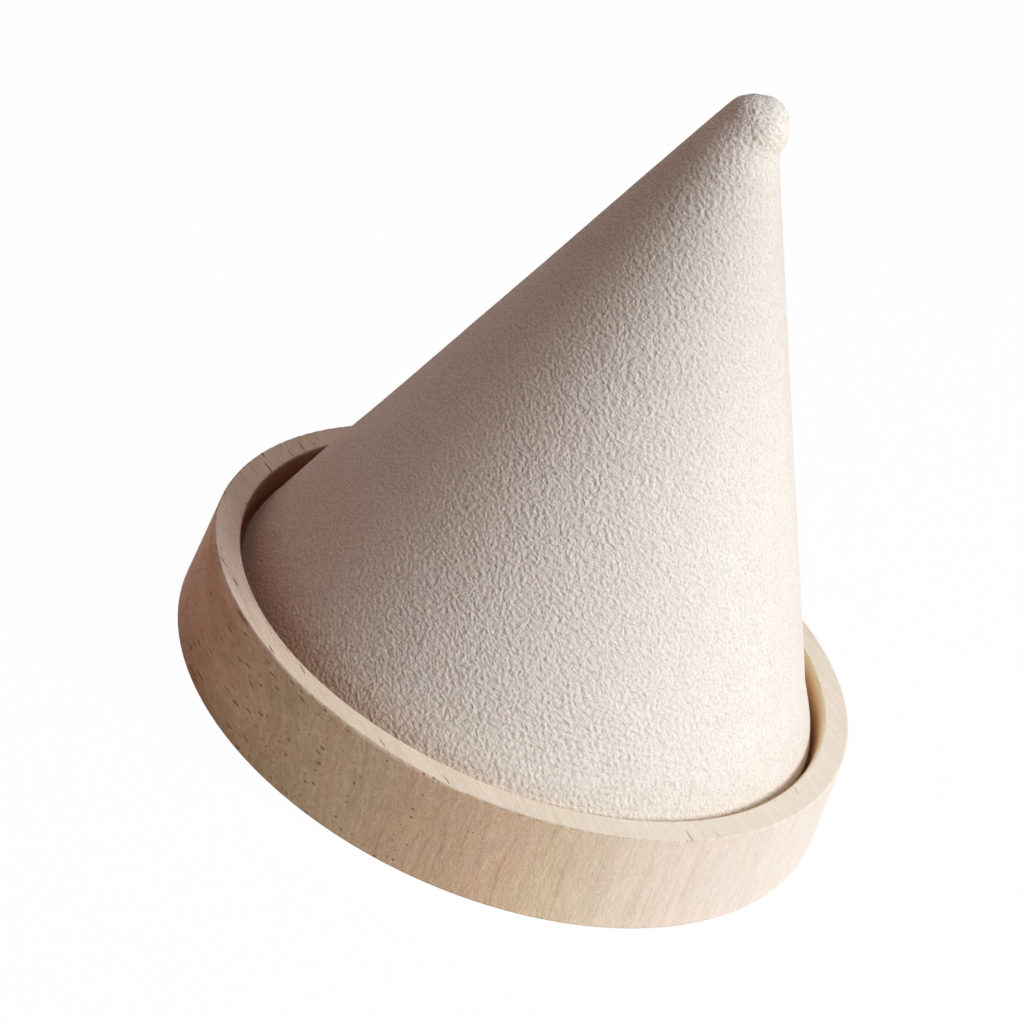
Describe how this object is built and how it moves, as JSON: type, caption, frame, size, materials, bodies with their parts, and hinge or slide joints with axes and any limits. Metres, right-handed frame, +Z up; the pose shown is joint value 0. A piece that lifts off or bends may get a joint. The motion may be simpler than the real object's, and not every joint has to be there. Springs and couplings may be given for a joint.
{
  "type": "conical bracelet stand",
  "caption": "Cloth-covered wooden cone seated in the recess of a shallow round turned wooden tray, for displaying bangles and bracelets.",
  "frame": {"origin": "centre of the tray's flat underside", "axes": "+Z up along the cone's axis, +Y to the back where the cover's seam runs, +X to the side that the covered tip leans to"},
  "size_m": [0.0922, 0.0922, 0.0887],
  "materials": {
    "tray_wood": "pale plain-grained hardwood, sanded, clear matt sealer",
    "core_wood": "turned softwood, unfinished",
    "suede_cloth": "off-white suede-like cloth with a short crinkled nap",
    "screw_steel": "zinc-plated countersunk wood screw"
  },
  "bodies": {
    "root": {"wooden_tray": "tray_wood", "cone_core": "core_wood", "cone_cover": "suede_cloth", "fixing_screw": "screw_steel"}
  },
  "joints": []
}
